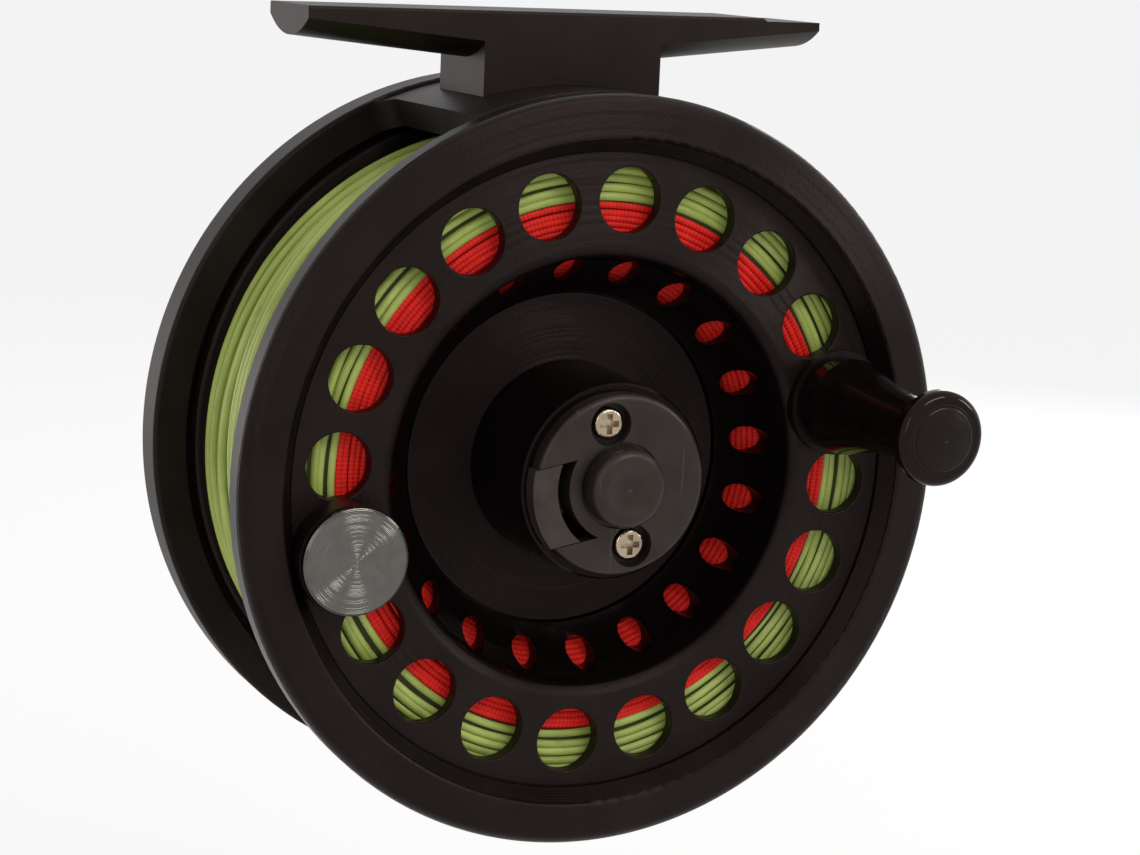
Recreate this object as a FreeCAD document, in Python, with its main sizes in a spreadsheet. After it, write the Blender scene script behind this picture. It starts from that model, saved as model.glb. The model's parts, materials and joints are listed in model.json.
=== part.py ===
"""Fly reel for a 5/6-weight line: bridge frame, large-arbor spool, rear disc drag and reel foot.

Lengths are in millimetres and angles in degrees. The origin is the middle of the foot's top face,
where the reel meets the rod: +Z is up towards the rod, +Y runs back along the spool's axis and the
handle is on the -Y side. Depths are measured along +Y from the plane of the spool's front rim.
"""
import FreeCAD, Part
import math
import os
import Sketcher

SIZES = (
    # Foot, and where the spool's axis lies under it.
    ("post_height", 8.15), ("foot_setback", 19.7), ("foot_length", 63.4), ("foot_width", 13.06),
    ("foot_tip_edge", 1.35), ("foot_middle_edge", 4.45), ("foot_crown", 2.1), ("foot_round", 0.35),
    ("tip_step_place", 24.2), ("tip_step", 0.4), ("post_width", 21.9), ("seat_gap", 0.02),
    # Frame: back plate, its raised ring, the bridge over the spool and the ports.
    ("ring_wall", 3.85), ("flange_gap", 0.75), ("plate_gap", 1.9), ("ring_height", 5.5),
    ("plate_thickness", 3.0), ("frame_round", 0.5), ("boss_radius", 12.95), ("boss_height", 1.5),
    ("bridge_half_angle", 21.0), ("bridge_gap", 0.35), ("bridge_drop", 0.45), ("bridge_round", 0.4),
    ("bridge_root", 2.8),
    ("port_radius", 3.6), ("port_circle", 28.0), ("port_count", 12),
    # Spool: palming rim, pierced face, bowl, web, arbor, back flange and hub tower.
    ("rim_radius", 42.8), ("rim_crown", 0.5), ("rim_width", 3.6), ("rim_round", 1.4),
    ("rim_back_round", 0.5), ("rim_inner", 38.3), ("rim_lip", 0.5), ("land_radius", 36.6),
    ("land_groove", 0.3), ("face_depth", 2.0), ("face_thickness", 1.6), ("bowl_ring_radius", 15.0),
    ("bowl_depth", 2.93), ("bowl_curve", 9.5), ("bowl_wall", 1.4), ("lip_round", 1.5),
    ("web_depth", 11.6), ("web_radius", 19.3), ("web_thickness", 2.4), ("web_groove", 0.8),
    ("arbor_radius", 20.9), ("arbor_wall", 1.4), ("flange_depth", 29.6), ("flange_thickness", 2.0),
    ("flange_radius", 38.6), ("flange_round", 0.5), ("tower_base", 11.6), ("tower_front", 11.15),
    ("tower_height", 13.6), ("tower_chamfer", 0.25), ("pocket_radius", 9.4), ("pocket_room", 1.5),
    ("sleeve_gap", 0.8), ("sleeve_wall", 1.6),
    ("face_hole_radius", 3.7), ("face_hole_round", 0.2), ("face_hole_circle", 31.05),
    ("face_hole_count", 20), ("arbor_hole_radius", 1.6), ("arbor_hole_circle", 22.65),
    ("handle_angle", 13.5),
    ("boss_top_radius", 6.15), ("handle_boss_height", 1.0), ("weight_boss_height", 3.2),
    # Shaft and bearings.
    ("shaft_radius", 2.9), ("shaft_nose", 0.75), ("journal_radius", 2.5), ("journal_length", 5.1),
    ("shaft_flange_radius", 8.6), ("shaft_flange_thickness", 1.2), ("running_fit", 0.05),
    ("fixed_fit", 0.02), ("edge_chamfer", 0.4), ("bush_radius", 4.6), ("bush_length", 4.2),
    ("bush_flange", 0.5), ("bush_flange_radius", 5.1), ("clutch_radius", 9.0), ("clutch_bore", 7.05),
    ("clutch_inset", 1.8),
    # Drag: cover, discs, rotor, pressure plate, spring, nut, pins and knob.
    ("cover_length", 10.2), ("cover_wall", 1.25), ("cover_wall_front", 1.3), ("disc_edge_gap", 0.35),
    ("disc_thickness", 0.95), ("rotor_thickness", 1.15),
    ("plate_disc_thickness", 1.0), ("drag_gap", 0.05), ("spring_play", 0.5), ("spring_thickness", 0.8),
    ("spring_radius", 8.4), ("spring_bore", 5.2), ("pin_circle", 6.4), ("pin_radius", 0.9),
    ("pin_count", 3), ("pin_angle", 30.0), ("nut_radius", 8.4), ("nut_thickness", 2.0),
    ("nut_play", 0.8), ("knob_radius", 11.8), ("knob_height", 6.5), ("knob_gap", 0.3), ("knob_floor", 3.1),
    ("knob_round", 1.4), ("knob_scallop", 2.4), ("knob_scallop_depth", 0.9), ("knob_scallops", 10),
    ("knob_screw_radius", 3.4), ("knob_screw_head", 1.3), ("knob_screw_shank", 1.4),
    ("knob_screw_length", 3.6),
    # Click: toothed ring in the arbor, pawl on the frame.
    ("click_ring_wall", 1.9), ("click_ring_depth", 1.9), ("click_tooth", 0.45),
    ("click_teeth", 36), ("click_tooth_share", 0.7),
    ("pawl_pivot_circle", 15.95), ("pawl_pivot_angle", 135.0), ("pawl_pin_radius", 0.8),
    ("pawl_hub_radius", 1.25), ("pawl_thickness", 1.4), ("pawl_gap", 0.15), ("pawl_nose", 0.35),
    ("pawl_pin_head", 0.8),
    ("coil_wire", 0.4),
    # Hub cap, release latch and centre cap.
    ("cap_radius", 10.25), ("cap_height", 2.0), ("cap_round", 0.7), ("spigot_depth", 1.4),
    ("cap_cavity_radius", 3.5), ("cap_cavity_depth", 1.1), ("button_radius", 4.45),
    ("button_height", 2.6), ("button_dish_radius", 2.9), ("button_dish", 0.35),
    ("button_recess", 0.55), ("button_stem", 2.6), ("button_round", 1.0),
    ("latch_angle", 190.7), ("window_above", 5.2), ("window_below", 4.1), ("window_arc", 6.3),
    ("latch_side_gap", 0.1), ("tab_inner", 7.7), ("tab_outer", 10.65), ("latch_travel", 1.0),
    ("latch_plate_thickness", 1.3), ("latch_plate_gap", 0.2), ("latch_plate_half", 2.5),
    ("latch_plate_end", 6.0), ("latch_wing", 1.6), ("latch_leg_outer", 8.6), ("latch_hole_play", 0.2),
    ("latch_groove_radius", 1.9), ("latch_groove_play", 0.15), ("latch_spring_radius", 0.75),
    ("latch_spring_bore", 0.45),
    # Small screws.
    ("cap_screw_circle", 7.1), ("cap_screw_angle", 103.0), ("cap_screw_head", 1.83),
    ("cap_screw_head_height", 1.2), ("cap_screw_shank", 1.0), ("cap_screw_length", 7.4),
    ("cap_counterbore_radius", 2.45), ("cap_counterbore_depth", 1.6), ("screw_boss_radius", 1.9),
    ("recess_width", 0.7), ("recess_reach", 1.15), ("recess_depth", 0.85),
    ("foot_screw_spacing", 11.0), ("foot_screw_shank", 1.25), ("foot_screw_head", 2.3),
    ("foot_screw_head_height", 1.6), ("foot_screw_length", 6.4), ("head_gap", 0.15), ("head_round", 0.55),
    ("shaft_screw_head", 1.9), ("shaft_screw_head_height", 1.4), ("shaft_screw_shank", 1.0),
    ("shaft_screw_length", 4.3), ("shaft_screw_angle", 90.0),
    # Counterweight.
    ("weight_radius", 5.97), ("weight_head", 1.1), ("weight_chamfer", 0.3), ("weight_slug_radius", 4.4),
    ("weight_slug_length", 2.7), ("weight_screw_head", 1.9), ("weight_screw_head_height", 0.9),
    ("weight_screw_length", 2.4),
    # Handle.
    ("handle_length", 22.1), ("handle_base_radius", 5.6), ("handle_neck_radius", 3.6),
    ("handle_end_radius", 5.35), ("handle_end_thickness", 0.6), ("handle_end_round", 1.1),
    ("handle_neck_depth", 4.9), ("handle_neck_curve", 2.7), ("handle_waist_curve", 48.0),
    ("handle_base_height", 2.6), ("handle_base_round", 0.5), ("pin_shaft_radius", 1.6),
    ("pin_head_radius", 3.0), ("pin_head_height", 0.9), ("pin_rivet_radius", 2.6),
    ("pin_rivet_height", 0.9), ("pin_cavity_depth", 1.1), ("end_cap_radius", 4.0),
    ("end_cap_depth", 1.4), ("end_cap_crown", 0.45), ("washer_radius", 4.5), ("washer_thickness", 0.3),
    # Line on the spool.
    ("backing_radius", 30.5), ("line_front_radius", 35.9), ("line_back_radius", 36.1),
    ("line_crown", 0.15), ("line_front_gap", 1.0), ("line_back_gap", 0.3), ("bowl_clearance", 0.6),
)


class Size:
    """A number with the sheet expression that gives it, so that sums of sizes stay bound to the sheet."""

    def __init__(self, text, value):
        self.text = text
        self.value = value

    def __add__(self, other):
        other = as_size(other)
        return Size(f"({self.text} + {other.text})", self.value + other.value)

    def __sub__(self, other):
        other = as_size(other)
        return Size(f"({self.text} - {other.text})", self.value - other.value)

    def __mul__(self, other):
        other = as_size(other)
        return Size(f"({self.text} * {other.text})", self.value * other.value)

    def __truediv__(self, other):
        other = as_size(other)
        return Size(f"({self.text} / {other.text})", self.value / other.value)

    def __neg__(self):
        return Size(f"(0 - {self.text})", -self.value)


def as_size(number):
    """A plain number as a Size."""
    return number if isinstance(number, Size) else Size(repr(float(number)), float(number))


def root(size):
    """Square root of a size."""
    return Size(f"sqrt({size.text})", math.sqrt(size.value))


def cosine(angle):
    """Cosine of an angle in degrees."""
    return Size(f"cos({angle.text} * 1deg)", math.cos(math.radians(angle.value)))


def sine(angle):
    """Sine of an angle in degrees."""
    return Size(f"sin({angle.text} * 1deg)", math.sin(math.radians(angle.value)))


def chord(curve, offset):
    """Other leg of the right triangle whose long side is the curve's radius and one leg the offset."""
    return root(curve * curve - offset * offset)


doc = FreeCAD.newDocument("fly_reel")
sheet = doc.addObject("Spreadsheet::Sheet", "Sizes")
for row, (alias, number) in enumerate(SIZES, 1):
    sheet.set(f"A{row}", alias.replace("_", " "))
    sheet.set(f"B{row}", str(number))
    sheet.setAlias(f"B{row}", alias)
doc.recompute()
size = {alias: Size(f"Sizes.{alias}", float(number)) for alias, number in SIZES}
ZERO = as_size(0)
LEAD = as_size(1)  # how far a through cut starts outside the piece
HALVES = (-0.5, 0.5)

# Radii and depths that several pieces share.
frame_bore = size["flange_radius"] + size["flange_gap"]
frame_radius = frame_bore + size["ring_wall"]
bridge_radius = frame_radius - size["bridge_drop"]
seat_height = bridge_radius + size["post_height"]
flange_back = size["flange_depth"] + size["flange_thickness"]
plate_face = flange_back + size["plate_gap"]
frame_back = plate_face + size["plate_thickness"]
frame_face = frame_back - size["ring_height"]
cover_front = plate_face - size["cover_length"]
boss_face = plate_face - size["boss_height"]
bridge_front = size["rim_width"] + size["bridge_gap"]
rim_face = -size["rim_crown"]
face_back = size["face_depth"] + size["face_thickness"]
tower_face = size["web_depth"] - size["tower_height"]
web_back = size["web_depth"] + size["web_thickness"]
cap_face = tower_face - size["cap_height"]
spigot_end = tower_face + size["spigot_depth"]
latch_plate_front = spigot_end + size["latch_plate_gap"]
latch_plate_back = latch_plate_front + size["latch_plate_thickness"]
pocket_floor = latch_plate_back + size["pocket_room"]
shaft_flange_face = boss_face - size["shaft_flange_thickness"]
disc_stack_front = cover_front + size["cover_wall_front"] + size["drag_gap"]
rotor_front = disc_stack_front + size["disc_thickness"] + size["drag_gap"]
rotor_back = rotor_front + size["rotor_thickness"]
rear_disc_front = rotor_back + size["drag_gap"]
pressure_front = rear_disc_front + size["disc_thickness"] + size["drag_gap"]
pressure_back = pressure_front + size["plate_disc_thickness"]
spring_front = pressure_back + size["spring_play"]
spring_back = spring_front + size["spring_thickness"]
nut_front = frame_back + size["nut_play"]
knob_front = frame_back + size["knob_gap"]
knob_back = knob_front + size["knob_height"]
knob_floor_front = knob_back - size["knob_floor"]
journal_end = frame_back + size["journal_length"]
handle_boss_face = size["face_depth"] - size["handle_boss_height"]
weight_boss_face = size["face_depth"] - size["weight_boss_height"]
shaft_bore = size["shaft_radius"] + size["running_fit"]
disc_radius = size["boss_radius"] - size["disc_edge_gap"]
rotor_hub_radius = size["clutch_bore"] - size["running_fit"]
arbor_bore = size["arbor_radius"] - size["arbor_wall"]
nodes = []


def make_body(label, across=ZERO, along=ZERO, above=ZERO):
    """An empty body whose own origin lies that far from the point where the axis meets the rim plane."""
    body = doc.addObject("PartDesign::Body", label)
    body.Label = label
    body.setExpression("Placement.Base.x", across.text)
    body.setExpression("Placement.Base.y", (along - size["foot_setback"]).text)
    body.setExpression("Placement.Base.z", (above - seat_height).text)
    nodes.append(body)
    return body


def make_sketch(body, role, offset=ZERO):
    """A sketch on one of the body's own planes, moved along that plane's normal."""
    plane = next(part for part in body.Origin.OriginFeatures if part.Role == role)
    sketch = body.newObject("Sketcher::SketchObject", f"{body.Label}_sketch")
    sketch.AttachmentSupport = [(plane, "")]
    sketch.MapMode = "FlatFace"
    sketch.setExpression("AttachmentOffset.Base.z", offset.text)
    return sketch


def pin_point(sketch, edge, end, point):
    """Fix one end of an edge at a point given as two sizes."""
    for kind, coordinate in (("DistanceX", point[0]), ("DistanceY", point[1])):
        number = sketch.addConstraint(Sketcher.Constraint(kind, -1, 1, edge, end, coordinate.value))
        sketch.setExpression(f"Constraints[{number}]", coordinate.text)


def draw(sketch, points):
    """Closed outline of lines and arcs, drawn anticlockwise.

    A point's third value is the radius of the arc that leaves it: positive where the outline turns
    left, as round a corner, and negative where it turns right, as in a hollow.
    """
    points = [tuple(as_size(value) for value in point) for point in points]
    ends = []
    for index, here in enumerate(points):
        there = points[(index + 1) % len(points)]
        start = FreeCAD.Vector(here[0].value, here[1].value, 0)
        finish = FreeCAD.Vector(there[0].value, there[1].value, 0)
        if len(here) == 2:
            ends.append((sketch.addGeometry(Part.LineSegment(start, finish)), 1, 2))
            continue
        radius = here[2]
        half = (finish - start) * 0.5
        reach = math.sqrt(max(radius.value ** 2 - half.Length ** 2, 0.0))
        side = FreeCAD.Vector(-half.y, half.x, 0).normalize()
        turns_left = radius.value > 0
        centre = start + half + side * (reach if turns_left else -reach)
        first, last = (start, finish) if turns_left else (finish, start)
        circle = Part.Circle(centre, FreeCAD.Vector(0, 0, 1), abs(radius.value))
        angles = [math.atan2(point.y - centre.y, point.x - centre.x) for point in (first, last)]
        edge = sketch.addGeometry(Part.ArcOfCircle(circle, angles[0], angles[1]))
        number = sketch.addConstraint(Sketcher.Constraint("Radius", edge, abs(radius.value)))
        sketch.setExpression(f"Constraints[{number}]", radius.text if turns_left else (-radius).text)
        ends.append((edge, 1, 2) if turns_left else (edge, 2, 1))
    for index, (edge, head, tail) in enumerate(ends):
        following = ends[(index + 1) % len(ends)]
        sketch.addConstraint(Sketcher.Constraint("Coincident", edge, tail, following[0], following[1]))
        pin_point(sketch, edge, head, points[index])


def ring(sketch, centre, radius):
    """A circle with a bound centre and radius."""
    middle = FreeCAD.Vector(centre[0].value, centre[1].value, 0)
    edge = sketch.addGeometry(Part.Circle(middle, FreeCAD.Vector(0, 0, 1), radius.value))
    number = sketch.addConstraint(Sketcher.Constraint("Radius", edge, radius.value))
    sketch.setExpression(f"Constraints[{number}]", radius.text)
    pin_point(sketch, edge, 3, centre)


def polar(radius, angle):
    """Point at a radius and an angle in degrees."""
    return radius * cosine(angle), radius * sine(angle)


def revolve(body, sketch):
    """Turn a sketch a full circle about the body's Y axis."""
    feature = body.newObject("PartDesign::Revolution", f"{body.Label}_turned")
    feature.Profile = sketch
    feature.ReferenceAxis = (sketch, ["V_Axis"])
    feature.Angle = 360
    body.Tip = feature
    return feature


def turned(label, points, across=ZERO, along=ZERO, above=ZERO):
    """A body turned about its Y axis from points given as radius and depth."""
    body = make_body(label, across, along, above)
    sketch = make_sketch(body, "XY_Plane")
    draw(sketch, points)
    revolve(body, sketch)
    return body


def pad(body, sketch, length, backwards=True):
    """Extrude a sketch that faces the front, away from the viewer unless told otherwise."""
    feature = body.newObject("PartDesign::Pad", f"{body.Label}_pad")
    feature.Profile = sketch
    feature.setExpression("Length", length.text)
    feature.Reversed = backwards
    body.Tip = feature
    return feature


def pocket(body, sketch, length, backwards=True):
    """Cut a sketch that faces the front into the body, and make sure that the cut removes something."""
    doc.recompute()
    before = body.Shape.Volume
    feature = body.newObject("PartDesign::Pocket", f"{body.Label}_pocket")
    feature.Profile = sketch
    feature.setExpression("Length", length.text)
    feature.Reversed = not backwards
    body.Tip = feature
    doc.recompute()
    if body.Shape.Volume >= before - 1e-6:
        raise RuntimeError(f"{body.Label}: a pocket cuts nothing")
    return feature


def pattern(body, feature, count):
    """Repeat a feature evenly round the body's Y axis."""
    spread = body.newObject("PartDesign::PolarPattern", f"{body.Label}_pattern")
    spread.Originals = [feature]
    axis = next(part for part in body.Origin.OriginFeatures if part.Role == "Y_Axis")
    spread.Axis = (axis, [""])
    spread.Angle = 360
    spread.setExpression("Occurrences", count.text)
    body.Tip = spread
    return spread


def soften(body, radius, chosen, kind="PartDesign::Fillet"):
    """Round or chamfer the edges for which chosen(edge) is true."""
    doc.recompute()
    base = body.Tip
    names = [f"Edge{n}" for n, edge in enumerate(base.Shape.Edges, 1) if chosen(edge)]
    if not names:
        raise RuntimeError(f"{body.Label}: no edge to soften")
    feature = body.newObject(kind, f"{body.Label}_soft")
    feature.Base = (base, names)
    feature.setExpression("Size" if kind.endswith("Chamfer") else "Radius", radius.text)
    body.Tip = feature
    return feature


def front_sketch(body, depth):
    """A sketch that faces the front, at a depth behind the body's origin."""
    return make_sketch(body, "XZ_Plane", -depth)


# Frame: a cast back plate with a raised ring, a boss for the drag and a bridge over the spool.
frame = turned("frame", (
    (size["shaft_radius"] + size["fixed_fit"], boss_face), (size["boss_radius"], boss_face),
    (size["boss_radius"], plate_face), (frame_bore, plate_face), (frame_bore, frame_face),
    (frame_radius - size["frame_round"], frame_face, size["frame_round"]),
    (frame_radius, frame_face + size["frame_round"]),
    (frame_radius, frame_back - size["frame_round"] * 2, size["frame_round"] * 2),
    (frame_radius - size["frame_round"] * 2, frame_back),
    (size["shaft_radius"] + size["fixed_fit"], frame_back)))
bridge_sketch = make_sketch(frame, "YZ_Plane")
bridge_end = frame_face + size["frame_round"] * 2
draw(bridge_sketch, (
    (bridge_front + size["bridge_round"], frame_bore), (bridge_end, frame_bore),
    (bridge_end, bridge_radius),
    (bridge_front + size["bridge_round"], bridge_radius, size["bridge_round"]),
    (bridge_front, bridge_radius - size["bridge_round"]),
    (bridge_front, frame_bore + size["bridge_round"], size["bridge_round"])))
bridge = frame.newObject("PartDesign::Revolution", "frame_bridge")
bridge.Profile = bridge_sketch
bridge.ReferenceAxis = (bridge_sketch, ["H_Axis"])
bridge.Midplane = True
bridge.setExpression("Angle", (size["bridge_half_angle"] * 2).text)
frame.Tip = bridge


def at_bridge_root(edge):
    """Straight radial edge where an end of the bridge meets the ring's front face."""
    box = edge.BoundBox
    flat = abs(box.YMin - frame_face.value) < 1e-3 and abs(box.YMax - frame_face.value) < 1e-3
    inner = frame_bore.value
    near_end = min(abs(math.hypot(v.X, v.Z) - inner) for v in edge.Vertexes) < 1e-3
    return flat and near_end and edge.Curve.TypeId == "Part::GeomLine" and box.ZMin > 0


soften(frame, size["bridge_root"], at_bridge_root)
port_sketch = front_sketch(frame, plate_face)
ring(port_sketch, (size["port_circle"], ZERO), size["port_radius"])
pattern(frame, pocket(frame, port_sketch, size["plate_thickness"]), size["port_count"])
pin_hole_sketch = front_sketch(frame, boss_face)
ring(pin_hole_sketch, polar(size["pin_circle"], size["pin_angle"]), size["pin_radius"] + size["running_fit"])
plate_depth = frame_back - boss_face
pattern(frame, pocket(frame, pin_hole_sketch, plate_depth), size["pin_count"])
screw_hole_sketch = front_sketch(frame, boss_face)
ring(screw_hole_sketch, polar(size["pin_circle"], size["shaft_screw_angle"]),
     size["shaft_screw_shank"] + size["fixed_fit"])
pattern(frame, pocket(frame, screw_hole_sketch, plate_depth), size["pin_count"])
sink_depth = frame_back - size["shaft_screw_head_height"]
sink_sketch = front_sketch(frame, sink_depth)
ring(sink_sketch, polar(size["pin_circle"], size["shaft_screw_angle"]),
     size["shaft_screw_head"] + size["head_gap"])
pattern(frame, pocket(frame, sink_sketch, size["shaft_screw_head_height"]), size["pin_count"])
pawl_hole_sketch = front_sketch(frame, plate_face)
pawl_pivot = polar(size["pawl_pivot_circle"], size["pawl_pivot_angle"])
ring(pawl_hole_sketch, pawl_pivot, size["pawl_pin_radius"] + size["fixed_fit"])
pocket(frame, pawl_hole_sketch, size["plate_thickness"] / 2)
foot_hole_sketch = make_sketch(frame, "XY_Plane", frame_bore - LEAD)
for side in HALVES:
    ring(foot_hole_sketch, (size["foot_screw_spacing"] * side, size["foot_setback"]),
         size["foot_screw_shank"] + size["fixed_fit"])
pocket(frame, foot_hole_sketch, bridge_radius - frame_bore + LEAD * 2, backwards=False)
foot_sink_sketch = make_sketch(frame, "XY_Plane", frame_bore - LEAD * 2)
foot_sink_height = chord(frame_bore, size["foot_screw_spacing"] / 2) + size["foot_screw_head_height"]
for side in HALVES:
    ring(foot_sink_sketch, (size["foot_screw_spacing"] * side, size["foot_setback"]),
         size["foot_screw_head"] + size["head_gap"])
pocket(frame, foot_sink_sketch, foot_sink_height - frame_bore + LEAD * 2, backwards=False)

# Reel foot: two tapering arms, flat on top and crowned beneath, on a post that saddles the bridge.
foot = make_body("reel_foot", ZERO, size["foot_setback"], seat_height)
half_width = size["foot_width"] / 2
crown_curve = (half_width * half_width + size["foot_crown"] * size["foot_crown"]) / (size["foot_crown"] * 2)
sections = []
for side, edge_height in ((-0.5, "foot_tip_edge"), (0, "foot_middle_edge"), (0.5, "foot_tip_edge")):
    section = make_sketch(foot, "YZ_Plane", size["foot_length"] * side)
    corner = size["foot_round"]
    draw(section, ((-half_width, -size[edge_height], crown_curve), (half_width, -size[edge_height]),
                   (half_width, -corner, corner), (half_width - corner, ZERO),
                   (corner - half_width, ZERO, corner), (-half_width, -corner)))
    sections.append(section)
arms = foot.newObject("PartDesign::AdditiveLoft", "reel_foot_arms")
arms.Profile = sections[0]
arms.Sections = sections[1:]
arms.Ruled = True
foot.Tip = arms
post_sketch = make_sketch(foot, "XY_Plane", -size["foot_tip_edge"])
half_post = size["post_width"] / 2
draw(post_sketch, ((-half_post, -half_width), (half_post, -half_width), (half_post, half_width),
                   (-half_post, half_width)))
pad(foot, post_sketch, seat_height - frame_bore - size["foot_tip_edge"], backwards=True)
saddle_sketch = front_sketch(foot, -size["foot_width"])
ring(saddle_sketch, (ZERO, -seat_height), bridge_radius + size["seat_gap"])
pocket(foot, saddle_sketch, size["foot_width"] * 2)
step_sketch = front_sketch(foot, -half_width - LEAD)
step_place, step, foot_end = size["tip_step_place"], size["tip_step"], size["foot_length"] / 2 + LEAD
draw(step_sketch, ((step_place, ZERO), (step_place + step, -step), (foot_end, -step), (foot_end, LEAD),
                   (step_place, LEAD)))
pocket(foot, step_sketch, size["foot_width"] + LEAD * 2)
thread_sketch = make_sketch(foot, "XY_Plane", frame_bore - seat_height)
for side in HALVES:
    ring(thread_sketch, (size["foot_screw_spacing"] * side, ZERO),
         size["foot_screw_shank"] + size["fixed_fit"])
foot_screw_seat = foot_sink_height - seat_height
thread_depth = foot_screw_seat + size["foot_screw_length"] + size["head_gap"]
pocket(foot, thread_sketch, thread_depth - (frame_bore - seat_height), backwards=False)


def machine_screw(label, head_radius, head_height, shank_radius, length, seat_depth, at, count):
    """Screws spread round the axis, heads to the front, with a cross recess in each head.

    The head's under side lies at seat_depth and the shank runs back from it.
    """
    body = make_body(label)
    head_sketch = front_sketch(body, seat_depth - head_height)
    ring(head_sketch, at, head_radius)
    heads = pad(body, head_sketch, head_height)
    shank_sketch = front_sketch(body, seat_depth)
    ring(shank_sketch, at, shank_radius)
    shanks = pad(body, shank_sketch, length)
    recess_sketch = front_sketch(body, seat_depth - head_height)
    wide, reach = size["recess_width"] / 2, size["recess_reach"]
    draw(recess_sketch, [(at[0] + x, at[1] + y) for x, y in (
        (wide, -reach), (wide, -wide), (reach, -wide), (reach, wide), (wide, wide), (wide, reach),
        (-wide, reach), (-wide, wide), (-reach, wide), (-reach, -wide), (-wide, -wide), (-wide, -reach))])
    recess = pocket(body, recess_sketch, size["recess_depth"])
    spread = pattern(body, heads, count)
    spread.Originals = [heads, shanks, recess]
    front = (seat_depth - head_height).value

    def at_head(edge):
        """Outer rim of a head's front face."""
        flat = abs(edge.BoundBox.YMin - front) < 1e-3 and edge.BoundBox.YLength < 1e-3
        circle = edge.Curve.TypeId == "Part::GeomCircle"
        return flat and circle and abs(edge.Curve.Radius - head_radius.value) < 1e-3

    soften(body, size["head_round"], at_head)
    return body


# Foot screws: two, put in from inside the bridge and up into the post.
foot_screws = make_body("foot_screws", ZERO, size["foot_setback"], seat_height)
foot_head_height = size["foot_screw_head_height"] - size["head_gap"] * 2
for side in HALVES:
    centre = (size["foot_screw_spacing"] * side, ZERO)
    head = make_sketch(foot_screws, "XY_Plane", foot_screw_seat - foot_head_height)
    ring(head, centre, size["foot_screw_head"])
    pad(foot_screws, head, foot_head_height, backwards=False)
    shank = make_sketch(foot_screws, "XY_Plane", foot_screw_seat)
    ring(shank, centre, size["foot_screw_shank"])
    pad(foot_screws, shank, size["foot_screw_length"], backwards=False)

# Shaft: ground steel, flanged to the frame's boss, grooved near its tip for the latch.
groove_front = latch_plate_front - size["latch_groove_play"]
groove_back = latch_plate_back + size["latch_groove_play"]
shaft_front = groove_front - size["shaft_nose"]
thread_bore = size["knob_screw_shank"] + size["fixed_fit"]
thread_end = journal_end - size["knob_screw_length"]
shaft = turned("spindle", (
    (ZERO, shaft_front), (size["shaft_radius"] - size["edge_chamfer"], shaft_front),
    (size["shaft_radius"], shaft_front + size["edge_chamfer"]), (size["shaft_radius"], groove_front),
    (size["latch_groove_radius"], groove_front), (size["latch_groove_radius"], groove_back),
    (size["shaft_radius"], groove_back), (size["shaft_radius"], shaft_flange_face),
    (size["shaft_flange_radius"], shaft_flange_face), (size["shaft_flange_radius"], boss_face),
    (size["shaft_radius"], boss_face), (size["shaft_radius"], frame_back),
    (size["journal_radius"], frame_back), (size["journal_radius"], journal_end),
    (thread_bore, journal_end), (thread_bore, thread_end), (ZERO, thread_end)))
for hole_angle, hole_radius in ((size["pin_angle"], size["pin_radius"] + size["running_fit"]),
                                (size["shaft_screw_angle"],
                                 size["shaft_screw_shank"] + size["fixed_fit"])):
    flange_hole = front_sketch(shaft, shaft_flange_face)
    ring(flange_hole, polar(size["pin_circle"], hole_angle), hole_radius)
    pattern(shaft, pocket(shaft, flange_hole, size["shaft_flange_thickness"]), size["pin_count"])

# Shaft screws: three, put in from the back of the plate under the drag knob.
shaft_screws = make_body("spindle_screws")
screw_at = polar(size["pin_circle"], size["shaft_screw_angle"])
head_front = sink_depth + size["fixed_fit"]
shaft_head_sketch = front_sketch(shaft_screws, head_front)
ring(shaft_head_sketch, screw_at, size["shaft_screw_head"])
shaft_heads = pad(shaft_screws, shaft_head_sketch, size["shaft_screw_head_height"] - size["fixed_fit"] * 2)
shaft_shank_sketch = front_sketch(shaft_screws, head_front - size["shaft_screw_length"])
ring(shaft_shank_sketch, screw_at, size["shaft_screw_shank"])
shaft_shanks = pad(shaft_screws, shaft_shank_sketch, size["shaft_screw_length"])
pattern(shaft_screws, shaft_heads, size["pin_count"]).Originals = [shaft_heads, shaft_shanks]

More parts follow.
